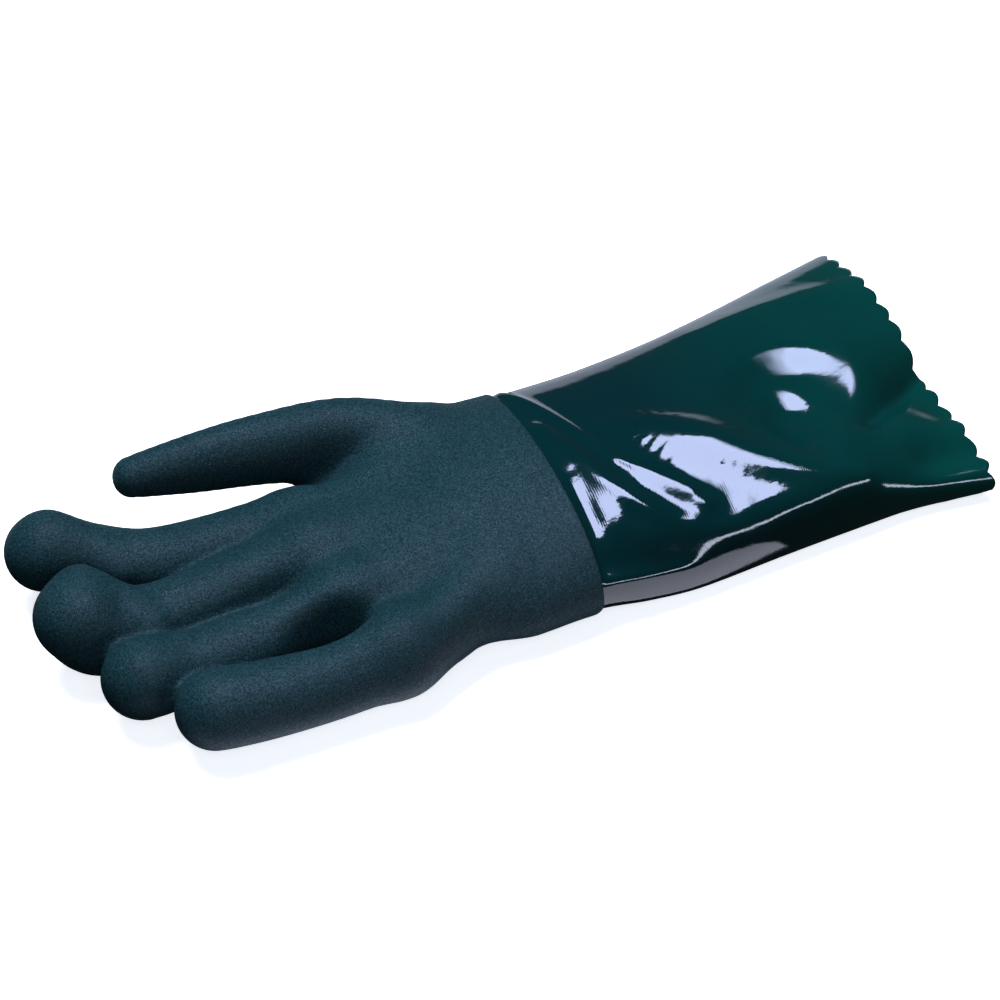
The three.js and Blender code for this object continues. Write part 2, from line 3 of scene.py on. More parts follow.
import bpy
import numpy as np
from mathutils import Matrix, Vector


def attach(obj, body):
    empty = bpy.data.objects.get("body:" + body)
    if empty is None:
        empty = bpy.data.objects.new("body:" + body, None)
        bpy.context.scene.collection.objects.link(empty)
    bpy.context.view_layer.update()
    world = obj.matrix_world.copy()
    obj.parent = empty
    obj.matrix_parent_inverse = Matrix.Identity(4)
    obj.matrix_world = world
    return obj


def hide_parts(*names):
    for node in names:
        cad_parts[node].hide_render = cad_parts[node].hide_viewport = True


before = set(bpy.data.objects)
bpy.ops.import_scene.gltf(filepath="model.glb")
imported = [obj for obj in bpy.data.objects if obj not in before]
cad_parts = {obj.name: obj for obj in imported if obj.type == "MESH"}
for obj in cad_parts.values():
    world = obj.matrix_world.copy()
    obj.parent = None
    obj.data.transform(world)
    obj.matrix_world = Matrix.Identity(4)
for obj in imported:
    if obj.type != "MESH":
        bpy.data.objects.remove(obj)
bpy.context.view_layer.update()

# PVC coated work glove for the right hand, lying on its back with the palm up.
# The shape is worked out in millimetres in the glove's fit frame, then moved to the row frame in metres.

MM = 0.001
ROW_SHIFT = np.array([3.463, 0.192, 0.0])
TINY = 1e-9

# The mouth, and the dip line, which runs back toward the fingers near the table
MOUTH_X = 168.0
DIP_LINE_X = 11.0
DIP_LINE_RECESS = 14.0
DIP_LINE_HEIGHT = 12.0

# The hand: how far it stands out over the gauntlet's lap, the coat that shows, and the lining under it
COAT = 1.15
SANDY_SKIN = 1.05
LINING = 0.45
LINING_DEPTH = 1.12

# The gauntlet: its whole wall, the coat that shows, and its lap inside the hand
GAUNTLET_WALL = 1.3
SKIN = 0.8
LINING_GAP = 0.02
LAP_GAP = 0.3
LAP_END_X = -7.0

# How far the surfaces are worked out past their ends, where they are cut
RUN_ON_X = 16.5
WRIST_MARGIN = 2.0
MOUTH_MARGIN = 1.0

# The pinked mouth: its scallops, and the lower near corner that stands back by a step
SCALLOPS = 30
SCALLOP_DEPTH = 2.2
SCALLOP_START = 0.95
MOUTH_STEP = 18.0
MOUTH_STEP_Z = (2.0, 5.0)
MOUTH_STEP_Y = (-52.0, -30.0)

# How far neighbouring forms flow into each other
BONE_BLEND = 0.8
FINGER_BLEND = 3.0
KNUCKLE_BLEND = 9.0
PALM_BLEND = 11.0
THUMB_BLEND = 8.0
WEB_BLEND = 5.0
CREST_BLEND = 5.0
TABLE_ROUNDING = 2.5
WRIST_BLEND = 12.0
LEAST_BLEND = 0.01
WRIST_FADE_X = -12.0
WRIST_FADE = 0.022

# Fineness of the meshes, and the space in which the hand is meshed
HAND_CELL = 1.35
LINING_CELL = 2.6
GAUNTLET_ROWS = 150
GAUNTLET_POINTS = 300
INSIDE_STEP = 2
SECTION_ROWS = 120
SECTION_POINTS = 720
BONE_PARTS = 5
FOLD_PARTS = 4
HAND_LOW = np.array([-182.0, -82.0, -3.0])
HAND_HIGH = np.array([19.0, 66.0, 46.0])

# A bone's field is worked out within its reach, and counts as far away elsewhere
BONE_REACH = 16.0
FAR_AWAY = 60.0

# Moving points onto a field's surface
PROJECT_ROUNDS = 3
PROJECT_STEP = 0.2
LEAST_SLOPE = 0.2
LONGEST_MOVE = 1.0

# Centre lines of the digits: x, y, z, half width, half thickness
DIGITS = [
    [(-72, 12.5, 15.5, 12.6, 12.8), (-104, 14.0, 14.0, 12.8, 12.2), (-128, 18.5, 13.5, 12.4, 11.6),
     (-147, 26.0, 17.0, 12.4, 12.4), (-160, 30.0, 21.5, 13.9, 13.9)],
    [(-74, -8, 18.0, 14.2, 14.5), (-108, -8.5, 15.5, 13.0, 12.8), (-133, -9.5, 14.0, 12.8, 12.4),
     (-151.5, -9.0, 16.0, 15.2, 15.8), (-160, -7.0, 24.0, 15.2, 15.2)],
    [(-72, -32.5, 17.0, 13.6, 14.2), (-104, -34, 14.8, 12.8, 12.4), (-129, -34.6, 13.4, 12.4, 12.0),
     (-147.5, -36.4, 17.2, 14.2, 14.2)],
    [(-64, -60, 16.0, 13.4, 15.0), (-90, -61, 14.5, 12.8, 13.4), (-112, -60.6, 15.0, 13.0, 13.4),
     (-130, -59.3, 16.8, 13.8, 13.8)],
]
THUMB = [(-18, 28, 21.0, 14.0, 14.0), (-46, 38.5, 25.0, 15.2, 12.5), (-76, 42.5, 27.2, 13.4, 10.5),
         (-100, 44, 28.4, 11.2, 8.5), (-122, 45, 29.6, 7.6, 6.8)]
THUMB_FLAT = (0.1, 0.1, 1.0)
# Crests of the curled tips of the middle and index fingers, and the web between index finger and thumb
CRESTS = [
    [(-156, 1, 29.0, 8.0, 8.0), (-146, -6, 25.0, 6.0, 6.0), (-138, -17, 20.5, 6.0, 6.0)],
    [(-157, 31, 27.0, 8.0, 8.0), (-147, 24, 22.5, 6.5, 6.5), (-139, 15, 17.5, 6.0, 6.0)],
]
WEB = [(-86, 25, 6.0, 3.5, 3.5), (-66, 28, 8.0, 4.5, 4.5), (-48, 30, 12.0, 7.0, 7.0)]
PALM = [
    [(-72, 11.5, 15.5, 11.5, 12.5), (-30, 16, 18.0, 16.5, 15.5)],
    [(-74, -8, 18.0, 14.2, 14.5), (-30, -8, 18.0, 20.0, 16.0)],
    [(-72, -32, 17.0, 14.0, 14.5), (-30, -26, 18.0, 20.0, 16.0)],
    [(-64, -59, 16.0, 12.5, 14.5), (-46, -55, 16.5, 12.0, 14.5), (-26, -45, 17.0, 13.0, 15.0)],
]

# Soft dents where the fingers part: x, y, z, reach along x, y and z, depth
DENTS = [
    (-84, -46.0, 24, 10, 5.0, 12, 17),
    (-97, -24, 28, 10, 4, 7, 7),
    (-56, 22, 30, 12, 7, 12, 4.5),
]

# Cross-sections: x, near, far, widest z, base, top, near fullness, far fullness, base fullness
SECTIONS = np.array([
    (-40, -66.0, 46.0, 14.0, 1.3, 33.5, 2.0, 2.0, 3.0),
    (-10, -63.5, 44.5, 13.0, 1.3, 36.5, 2.0, 2.0, 3.2),
    (11, -62.5, 43.0, 12.5, 1.3, 38.0, 2.1, 2.0, 3.4),
    (30, -63.5, 45.5, 9.5, 0.4, 36.0, 2.6, 2.0, 4.0),
    (50, -63.5, 48.5, 7.5, 0.0, 33.5, 2.6, 2.0, 5.0),
    (83, -61.0, 54.0, 6.5, 0.0, 31.0, 3.3, 2.0, 5.0),
    (113, -59.5, 60.0, 6.5, 0.0, 31.5, 3.1, 2.0, 5.0),
    (138, -59.0, 66.5, 6.5, 0.0, 30.0, 2.2, 2.0, 5.0),
    (168, -63.0, 74.5, 6.5, 0.0, 26.5, 2.0, 2.0, 5.0),
])
SECTION_COLUMNS = ("near", "far", "widest", "base", "top", "near_full", "far_full", "base_full")

# Folds of the upper side, each a line of x, y, half width, height
FOLDS = [
    # Dips and a low ridge that run in from the mouth
    [(204, -24, 14, -8), (166, -27, 14, -8)],
    [(200, -50, 10, -5), (150, -50, 10, -5)],
    [(196, 37, 8, 1.6), (128, 38, 8, 1.6), (98, 37, 7, 1.2)],
    # The long wave
    [(42, -4, 6, 1.5), (54, -11, 10, 4.2), (68, -22, 12, 6.0), (80, -34, 10, 4.4), (92, -44, 8, 3.4),
     (104, -50, 6, 2.6), (118, -53, 5, 1.8)],
    # The fine crease from the dip line
    [(15, 34, 2.4, 1.7), (24, 6, 2.4, 1.5), (36, -22, 2.4, 1.2), (55, -42, 2.4, 0.9)],
    # The fork by the wrist, and the low ridge below it
    [(15, 2, 4.5, 1.6), (23, -18, 4.5, 2.4), (28, -33, 4.5, 2.4), (38, -46, 4.5, 2.0), (50, -52, 4.5, 1.4)],
    [(36, -22, 3.5, 0.8), (44, -34, 4.5, 2.0), (57, -48, 4.5, 2.0)],
    [(26, -51, 5, 0.4), (37, -54, 5, 1.9), (52, -57, 5, 2.0), (70, -59, 5, 0.8)],
    # The valley along the dip line
    [(16, -24, 4, -0.6), (16, -40, 4.5, -2.2), (18, -52, 4, 0.0)],
    # The near shoulder
    [(74, -54, 6, 0.8), (90, -57, 6, 1.8), (118, -58, 5, 1.6)],
    [(4, -60, 14, -5), (40, -62, 12, -4)],
]
# Sharp creases, each a line of x, y, half width, height
CREASES = [
    [(190, 6, 9, -15), (136, -26, 9, -9)],
]
# Flat-bottomed dents: x, y, reach along x and y, depth
POCKETS = [
    (112, -9, 23.0, 20.0, 6.2),
    (108, -23, 11.0, 17.0, 3.6),
]
FOLD_START_X = 9.0
FOLD_RISE = 5.0
CREASE_EASE = 0.25
POCKET_EDGE = 4
# Folds start at this share of a section's upper half and are whole at the second one
TOP_START = 0.2
TOP_FULL = 0.62
# Height that folds leave open between the walls of the tube
LEAST_HOLLOW = 1.2

# Colours
SANDY_DARK = (0.0008, 0.0105, 0.0140)
SANDY_LIGHT = (0.0080, 0.0430, 0.0535)
SANDY_GRIT = (0.075, 0.115, 0.165)
SANDY_PATCH = (0.0015, 0.0190, 0.0230)
GLOSS_WRIST = (0.0004, 0.0170, 0.0220)
GLOSS_MOUTH = (0.0005, 0.0460, 0.0420)
GLOSS_CLOUD = (0.0004, 0.0230, 0.0250)
KNIT_DARK = (0.004, 0.06, 0.05)
KNIT_LIGHT = (0.02, 0.14, 0.12)
FLOOR_COLOUR = (0.84, 0.85, 0.90, 1.0)
FLOOR_GLOW = (0.93, 0.95, 1.0, 1.0)
FLOOR_GLOW_STRENGTH = 0.8
WORLD_COLOUR = (0.9, 0.93, 1.0, 1.0)
WORLD_STRENGTH = 0.03

# Where the coat of the gauntlet turns from its wrist colour to its mouth colour, in metres
GREENING_X = (0.06, 0.18)

# Colour sockets of Blender's mix node
MIX_A = 6
MIX_B = 7
MIX_RESULT = 2

# Camera and floor, in metres, with the sensor and the lens in millimetres
FLOOR_REACH = 6.0
TARGET = (np.array([0.0, 0.0, 15.0]) + ROW_SHIFT) * MM
AZIMUTH = math.radians(-24.0)
ELEVATION = math.radians(44.0)
DISTANCE = 1.15
SENSOR_WIDTH = 36.0
CAMERA_LENS = 115.92
CAMERA_SHIFT_Y = -0.01


def smoothstep(low, high, value):
    t = np.clip((value - low) / (high - low), 0.0, 1.0)
    return t * t * (3.0 - 2.0 * t)


# Union of two distance fields with a fillet of the given size
def blend(a, b, size):
    near = np.maximum(size - np.abs(a - b), 0.0) / size
    return np.minimum(a, b) - near * near * size * 0.25


# Distance to an ellipsoid swept from one row of a bone to the next
def segment_distance(points, start, end, flat):
    origin = np.array(start[:3], float)
    axis = np.array(end[:3], float) - origin
    length = np.linalg.norm(axis)
    axis /= length
    wide = np.array(flat, float)
    wide -= axis * (wide @ axis)
    wide /= np.linalg.norm(wide)
    thick = np.cross(axis, wide)
    offset = points - origin
    t = np.clip((offset @ axis) / length, 0.0, 1.0)
    half_width = start[3] + (end[3] - start[3]) * t
    half_thickness = start[4] + (end[4] - start[4]) * t
    half_end = np.minimum(half_width, half_thickness)
    u = (offset @ wide) / half_width
    v = (offset @ thick) / half_thickness
    w = (offset @ axis - t * length) / half_end
    reach = np.sqrt(u * u + v * v + w * w) + TINY
    slope = np.sqrt((u / half_width) ** 2 + (v / half_thickness) ** 2 + (w / half_end) ** 2) + TINY
    return reach * (reach - 1.0) / slope


# Rows with more rows between them, on a smooth curve
def eased_rows(rows, parts):
    rows = np.array(rows, float)
    padded = np.vstack([2 * rows[0] - rows[1], rows, 2 * rows[-1] - rows[-2]])
    eased = []
    for i in range(1, len(padded) - 2):
        a, b, c, d = padded[i - 1:i + 3]
        for t in np.arange(parts) / parts:
            eased.append(0.5 * (2 * b + (c - a) * t + (2 * a - 5 * b + 4 * c - d) * t ** 2
                                + (3 * b - a - 3 * c + d) * t ** 3))
    eased.append(rows[-1])
    return np.array(eased)


# Distance to a bone, worked out only near it
def bone_distance(points, rows, flat=(0.0, 1.0, 0.0)):
    rows = eased_rows(rows, BONE_PARTS)
    reach = rows[:, 3:].max() + BONE_REACH
    low = rows[:, :3].min(0) - reach
    high = rows[:, :3].max(0) + reach
    close = np.all((points > low) & (points < high), axis=1)
    distance = np.full(len(points), FAR_AWAY)
    near = points[close]
    if len(near):
        value = segment_distance(near, rows[0], rows[1], flat)
        for start, end in zip(rows[1:-1], rows[2:]):
            value = blend(value, segment_distance(near, start, end, flat), BONE_BLEND)
        distance[close] = value
    return distance


# Section values at any x, eased from row to row
def section_at(x):
    xs = SECTIONS[:, 0]
    last = len(xs) - 1
    at = np.clip(x, xs[0], xs[-1])
    i = np.clip(np.searchsorted(xs, at) - 1, 0, last - 1)
    below = np.maximum(i - 1, 0)
    above = np.minimum(i + 2, last)
    span = xs[i + 1] - xs[i]
    t = (at - xs[i]) / span
    values = {}
    for name, row in zip(SECTION_COLUMNS, SECTIONS[:, 1:].T):
        slope_start = (row[i + 1] - row[below]) / (xs[i + 1] - xs[below]) * span
        slope_end = (row[above] - row[i]) / (xs[above] - xs[i]) * span
        curve = slope_start * (1 - t) ** 2 * t - slope_end * t * t * (1 - t)
        values[name] = row[i] + (row[i + 1] - row[i]) * t * t * (3 - 2 * t) + curve
    return values


# Distance to the wrist's section
def section_distance(points):
    x, y, z = points.T
    section = section_at(x)
    widest = section["widest"]
    half = (section["far"] - section["near"]) / 2
    side = (y - (section["near"] + section["far"]) / 2) / half
    upper = z > widest
    height = np.where(upper, section["top"] - widest, widest - section["base"])
    upper_power = np.where(side < 0, section["near_full"], section["far_full"])
    power = np.where(upper, upper_power, section["base_full"])
    u = np.abs(side)
    w = np.abs(z - widest) / height
    reach = (u ** power + w ** power) ** (1 / power) + TINY
    slope_y = (u / reach) ** (power - 1) / half
    slope_z = (w / reach) ** (power - 1) / height
    return (reach - 1) / (np.hypot(slope_y, slope_z) + TINY)


# The outside of the coated hand: negative inside, running on past the dip line
def hand_distance(points):
    x, y, z = points.T
    fingers = bone_distance(points, DIGITS[0])
    for digit in DIGITS[1:]:
        fingers = blend(fingers, bone_distance(points, digit), FINGER_BLEND)
    for crest in CRESTS:
        fingers = blend(fingers, bone_distance(points, crest), CREST_BLEND)
    palm = bone_distance(points, PALM[0])
    for strip in PALM[1:]:
        palm = blend(palm, bone_distance(points, strip), PALM_BLEND)
    fade = np.maximum(WRIST_FADE_X - x, 0.0)
    wrist = section_distance(points) - COAT - LAP_GAP + WRIST_FADE * fade * fade
    wrist_blend = WRIST_BLEND * (1 - smoothstep(WRIST_FADE_X, DIP_LINE_X, x)) + LEAST_BLEND
    hand = blend(fingers, palm, KNUCKLE_BLEND)
    hand = blend(hand, wrist, wrist_blend)
    hand = blend(hand, bone_distance(points, WEB), WEB_BLEND)
    hand = blend(hand, bone_distance(points, THUMB, THUMB_FLAT), THUMB_BLEND)
    for dx, dy, dz, along_x, along_y, along_z, depth in DENTS:
        away = ((x - dx) / along_x) ** 2 + ((y - dy) / along_y) ** 2 + ((z - dz) / along_z) ** 2
        hand = hand + depth * np.exp(-away)
    hand = np.maximum(hand, x - RUN_ON_X)
    return -blend(-hand, z, TABLE_ROUNDING)


# Closed surface of a field sampled on a grid, one vertex per crossed cell
def surface_nets(values, origin, cell):
    inside = values < 0
    nx, ny, nz = values.shape
    corners = [(i, j, k) for i in (0, 1) for j in (0, 1) for k in (0, 1)]
    count = sum(inside[i:nx - 1 + i, j:ny - 1 + j, k:nz - 1 + k].astype(int) for i, j, k in corners)
    cells = np.argwhere((count > 0) & (count < len(corners)))
    number = np.full((nx - 1, ny - 1, nz - 1), -1)
    number[tuple(cells.T)] = np.arange(len(cells))
    total = np.zeros((len(cells), 3))
    crossings = np.zeros(len(cells))
    for corner in corners:
        for axis in range(3):
            if corner[axis]:
                continue
            other = list(corner)
            other[axis] = 1
            a = cells + corner
            b = cells + other
            fa = values[tuple(a.T)]
            fb = values[tuple(b.T)]
            crossed = (fa < 0) != (fb < 0)
            t = fa[crossed] / (fa[crossed] - fb[crossed])
            total[crossed] += a[crossed] + t[:, None] * (b[crossed] - a[crossed])
            crossings[crossed] += 1
    vertices = origin + cell * total / crossings[:, None]
    units = np.eye(3, dtype=int)
    quads = []
    for axis in range(3):
        u = units[(axis + 1) % 3]
        v = units[(axis + 2) % 3]
        first = [slice(1, -1)] * 3
        first[axis] = slice(0, values.shape[axis] - 1)
        second = list(first)
        second[axis] = slice(1, values.shape[axis])
        a = inside[tuple(first)]
        b = inside[tuple(second)]
        edges = np.argwhere(a != b)
        outward = a[tuple(edges.T)]
        edges = edges + u + v
        ring = [number[tuple((edges - u - v).T)], number[tuple((edges - v).T)],
                number[tuple(edges.T)], number[tuple((edges - u).T)]]
        quad = np.stack(ring, 1)
        quad[~outward] = quad[~outward][:, ::-1]
        quads.append(quad)
    return vertices, np.concatenate(quads)


# Moves points onto the surface where the field has the given level
def project(points, field, level):
    for _ in range(PROJECT_ROUNDS):
        value = field(points) - level
        gradient = np.zeros_like(points)
        for axis in range(3):
            shift = np.zeros(3)
            shift[axis] = PROJECT_STEP
            gradient[:, axis] = (field(points + shift) - field(points - shift)) / (2 * PROJECT_STEP)
        slope = np.maximum((gradient ** 2).sum(1), LEAST_SLOPE)
        points = points + gradient * np.clip(-value / slope, -LONGEST_MOVE, LONGEST_MOVE)[:, None]
    return points


# Surface at the given level of the hand's field
def hand_surface(level, cell):
    count = np.ceil((HAND_HIGH - HAND_LOW) / cell).astype(int) + 1
    axes = [HAND_LOW[i] + cell * np.arange(count[i]) for i in range(3)]
    grid = np.stack(np.meshgrid(*axes, indexing="ij"), -1).reshape(-1, 3)
    values = (hand_distance(grid) - level).reshape(count)
    vertices, quads = surface_nets(values, HAND_LOW, cell)
    return project(vertices, hand_distance, level), quads


# Keeps the part of a surface where the given values are negative, cut cleanly along their zero line
def clip_surface(vertices, quads, value):
    triangles = np.concatenate([quads[:, [0, 1, 2]], quads[:, [0, 2, 3]]])
    below = value < 0
    kept_count = below[triangles].sum(1)
    kept = [tuple(t) for t in triangles[kept_count == 3]]
    vertices = list(map(tuple, vertices))
    cuts = {}

    def cut(a, b):
        key = (min(a, b), max(a, b))
        if key not in cuts:
            t = value[a] / (value[a] - value[b])
            pa, pb = np.array(vertices[a]), np.array(vertices[b])
            cuts[key] = len(vertices)
            vertices.append(tuple(pa + (pb - pa) * t))
        return cuts[key]

    for triangle in triangles[(kept_count == 1) | (kept_count == 2)]:
        polygon = []
        for i in range(3):
            a, b = int(triangle[i]), int(triangle[(i + 1) % 3])
            if below[a]:
                polygon.append(a)
            if below[a] != below[b]:
                polygon.append(cut(a, b))
        for i in range(1, len(polygon) - 1):
            kept.append((polygon[0], polygon[i], polygon[i + 1]))
    used = sorted({i for t in kept for i in t})
    renumber = {old: new for new, old in enumerate(used)}
    faces = [tuple(renumber[i] for i in t) for t in kept]
    return np.array([vertices[i] for i in used]), faces


def piece(name, vertices, faces, material, replaced=None):
    mesh = bpy.data.meshes.new(name)
    placed = (np.asarray(vertices) + ROW_SHIFT) * MM
    mesh.from_pydata(placed.tolist(), [], [list(map(int, face)) for face in faces])
    mesh.validate()
    mesh.polygons.foreach_set("use_smooth", [True] * len(mesh.polygons))
    mesh.materials.append(material)
    mesh.update()
    obj = bpy.data.objects.new(name, mesh)
    bpy.context.scene.collection.objects.link(obj)
    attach(obj, "root")
    if replaced:
        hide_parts(replaced)
    return obj


# Closed loop of the section at x, as evenly spaced points in y and z that start at the base
def section_loop(x, points):
    section = {name: value[0] for name, value in section_at(np.array([x])).items()}
    angle = np.arange(SECTION_POINTS) / SECTION_POINTS * 2 * np.pi - np.pi / 2
    cosine = np.cos(angle)
    sine = np.sin(angle)
    upper_power = np.where(cosine < 0, section["near_full"], section["far_full"])
    power = np.where(sine > 0, upper_power, section["base_full"])
    height = np.where(sine > 0, section["top"] - section["widest"], section["widest"] - section["base"])
    middle = (section["near"] + section["far"]) / 2
    half = (section["far"] - section["near"]) / 2
    y = middle + half * np.sign(cosine) * np.abs(cosine) ** (2 / power)
    z = section["widest"] + height * np.sign(sine) * np.abs(sine) ** (2 / power)
    y = np.append(y, y[0])
    z = np.append(z, z[0])
    length = np.concatenate([[0.0], np.cumsum(np.hypot(np.diff(y), np.diff(z)))])
    target = np.arange(points) / points * length[-1]
    return np.stack([np.interp(target, length, y), np.interp(target, length, z)], 1)


# Distance from a fold's line as a share of its half width, with the height at the nearest place
def near_line(line, x, y):
    rows = eased_rows(line, FOLD_PARTS)
    share = np.full(x.shape, np.inf)
    height = np.zeros_like(x)
    for start, end in zip(rows[:-1], rows[1:]):
        dx, dy = end[:2] - start[:2]
        t = np.clip(((x - start[0]) * dx + (y - start[1]) * dy) / (dx * dx + dy * dy), 0.0, 1.0)
        half_width = start[2] + (end[2] - start[2]) * t
        away = np.hypot(x - start[0] - t * dx, y - start[1] - t * dy) / half_width
        height = np.where(away < share, start[3] + (end[3] - start[3]) * t, height)
        share = np.minimum(away, share)
    return share, height


# How far the folds lift the upper side of the gauntlet at x and y
def fold_height(x, y):
    total = np.zeros_like(x)
    for line in FOLDS:
        share, height = near_line(line, x, y)
        total += height * np.exp(-share ** 2)
    for line in CREASES:
        share, height = near_line(line, x, y)
        total += height * np.exp(CREASE_EASE - np.hypot(share, CREASE_EASE))
    for px, py, reach_x, reach_y, depth in POCKETS:
        total -= depth * np.exp(-np.hypot((x - px) / reach_x, (y - py) / reach_y) ** POCKET_EDGE)
    return total * smoothstep(FOLD_START_X, FOLD_START_X + FOLD_RISE, x)


# Outer surface of the gauntlet as a grid of rows along it and points round it
def gauntlet_grid(rows, points):
    table_x = np.linspace(LAP_END_X - WRIST_MARGIN, MOUTH_X + MOUTH_MARGIN, SECTION_ROWS)
    loops = np.array([section_loop(x, points) for x in table_x])
    mouth_y, mouth_z = section_loop(MOUTH_X, points).T
    step = (1 - smoothstep(*MOUTH_STEP_Y, mouth_y)) * (1 - smoothstep(*MOUTH_STEP_Z, mouth_z))
    end = MOUTH_X - MOUTH_STEP * step
    turn = np.arange(points) / points * SCALLOPS * np.pi
    scallop = SCALLOP_DEPTH * (np.abs(np.sin(turn)) - 1)
    along = np.linspace(0.0, 1.0, rows)[:, None]
    x = LAP_END_X + (end - LAP_END_X) * along + scallop * smoothstep(SCALLOP_START, 1.0, along)
    y = np.empty_like(x)
    z = np.empty_like(x)
    for column in range(points):
        y[:, column] = np.interp(x[:, column], table_x, loops[:, column, 0])
        z[:, column] = np.interp(x[:, column], table_x, loops[:, column, 1])
    section = section_at(x)
    rise = (z - section["widest"]) / (section["top"] - section["widest"])
    lift = fold_height(x, y) * smoothstep(TOP_START, TOP_FULL, rise)
    lowest = np.minimum(z, 2 * GAUNTLET_WALL + LEAST_HOLLOW)
    z = np.maximum(z + lift, np.maximum(lowest, 0.0))
    return np.stack([x, y, z], -1)


def grid_normals(grid):
    along = np.gradient(grid, axis=0)
    wrapped = np.concatenate([grid[:, -1:], grid, grid[:, :1]], axis=1)
    around = (wrapped[:, 2:] - wrapped[:, :-2]) / 2
    normal = np.cross(around, along)
    return normal / (np.linalg.norm(normal, axis=-1, keepdims=True) + TINY)


def tube_faces(rows, points, first, flip):
    i, j = np.meshgrid(np.arange(rows - 1), np.arange(points), indexing="ij")
    i = i.ravel()
    j = j.ravel()
    k = (j + 1) % points
    corners = [i * points + j, i * points + k, (i + 1) * points + k, (i + 1) * points + j]
    quads = np.stack(corners, 1) + first
    return quads[:, ::-1] if flip else quads


def rim_faces(first, second, points):
    j = np.arange(points)
    k = (j + 1) % points
    return np.stack([first + j, first + k, second + k, second + j], 1)


# Tube wall between two insets of one outer grid, closed at both rims, with fewer rows on the inside
def tube_shell(grid, outer_inset, inner_inset):
    normal = grid_normals(grid)
    rows, points = grid.shape[:2]
    outer = grid - normal * outer_inset
    inner = grid - normal * inner_inset
    outer[..., 2] = np.maximum(outer[..., 2], outer_inset)
    inner[..., 2] = np.maximum(inner[..., 2], inner_inset)
    inner = inner[np.unique(np.append(np.arange(0, rows, INSIDE_STEP), rows - 1))]
    vertices = np.concatenate([outer.reshape(-1, 3), inner.reshape(-1, 3)])
    start = rows * points
    last_inner = start + (len(inner) - 1) * points
    faces = np.concatenate([
        tube_faces(rows, points, 0, False),
        tube_faces(len(inner), points, start, True),
        rim_faces(start, 0, points),
        rim_faces((rows - 1) * points, last_inner, points),
    ])
    return vertices, faces


# One procedural material with short helpers for its nodes
class Nodes:
    def __init__(self, name):
        self.material = bpy.data.materials.new(name)
        self.material.use_nodes = True
        self.tree = self.material.node_tree
        self.shader = self.tree.nodes["Principled BSDF"]
        self.place = self.add("ShaderNodeTexCoord").outputs["Object"]

    def add(self, kind, **values):
        node = self.tree.nodes.new(kind)
        for key, value in values.items():
            setattr(node, key, value)
        return node

    def link(self, output, socket):
        self.tree.links.new(output, socket)

    def shade(self, **values):
        for key, value in values.items():
            socket = self.shader.inputs[key.replace("_", " ")]
            if isinstance(value, (float, tuple)):
                socket.default_value = value
            else:
                self.link(value, socket)

    def noise(self, scale, detail, rough):
        node = self.add("ShaderNodeTexNoise")
        node.inputs["Scale"].default_value = scale
        node.inputs["Detail"].default_value = detail
        node.inputs["Roughness"].default_value = rough
        self.link(self.place, node.inputs["Vector"])
        return node.outputs["Fac"]

    def mix(self, factor, a, b):
        node = self.add("ShaderNodeMix", data_type="RGBA")
        self.link(factor, node.inputs["Factor"])
        for socket, colour in ((node.inputs[MIX_A], a), (node.inputs[MIX_B], b)):
            if isinstance(colour, tuple):
                socket.default_value = (*colour, 1.0)
            else:
                self.link(colour, socket)
        return node.outputs[MIX_RESULT]

    def remap(self, value, source, target):
        node = self.add("ShaderNodeMapRange")
        for key, number in zip(("From Min", "From Max", "To Min", "To Max"), (*source, *target)):
            node.inputs[key].default_value = number
        self.link(value, node.inputs["Value"])
        return node.outputs["Result"]

    def bump(self, height, strength, distance, below=None):
        node = self.add("ShaderNodeBump")
        node.inputs["Strength"].default_value = strength
        node.inputs["Distance"].default_value = distance
        self.link(height, node.inputs["Height"])
        if below is not None:
            self.link(below, node.inputs["Normal"])
        return node.outputs["Normal"]


# Matte, grainy dark teal with fine grit
def sandy_material():
    m = Nodes("sandy_coat")
    grain = m.noise(scale=1150, detail=3.0, rough=0.62)
    grit = m.noise(scale=2700, detail=2.0, rough=0.5)
    patches = m.noise(scale=26, detail=3.0, rough=0.55)
    colour = m.mix(m.remap(grain, (0.36, 0.66), (0.0, 1.0)), SANDY_DARK, SANDY_LIGHT)
    colour = m.mix(m.remap(grit, (0.56, 0.68), (0.0, 0.7)), colour, SANDY_GRIT)
    colour = m.mix(m.remap(patches, (0.3, 0.7), (0.0, 0.35)), colour, SANDY_PATCH)
    soft = m.bump(m.noise(scale=420, detail=3.0, rough=0.6), strength=0.25, distance=0.0004)
    m.shade(
        Base_Color=colour,
        Roughness=m.remap(grain, (0.3, 0.7), (0.68, 0.48)),
        Specular_IOR_Level=0.13,
        Normal=m.bump(grain, strength=0.7, distance=0.0004, below=soft),
    )
    return m.material


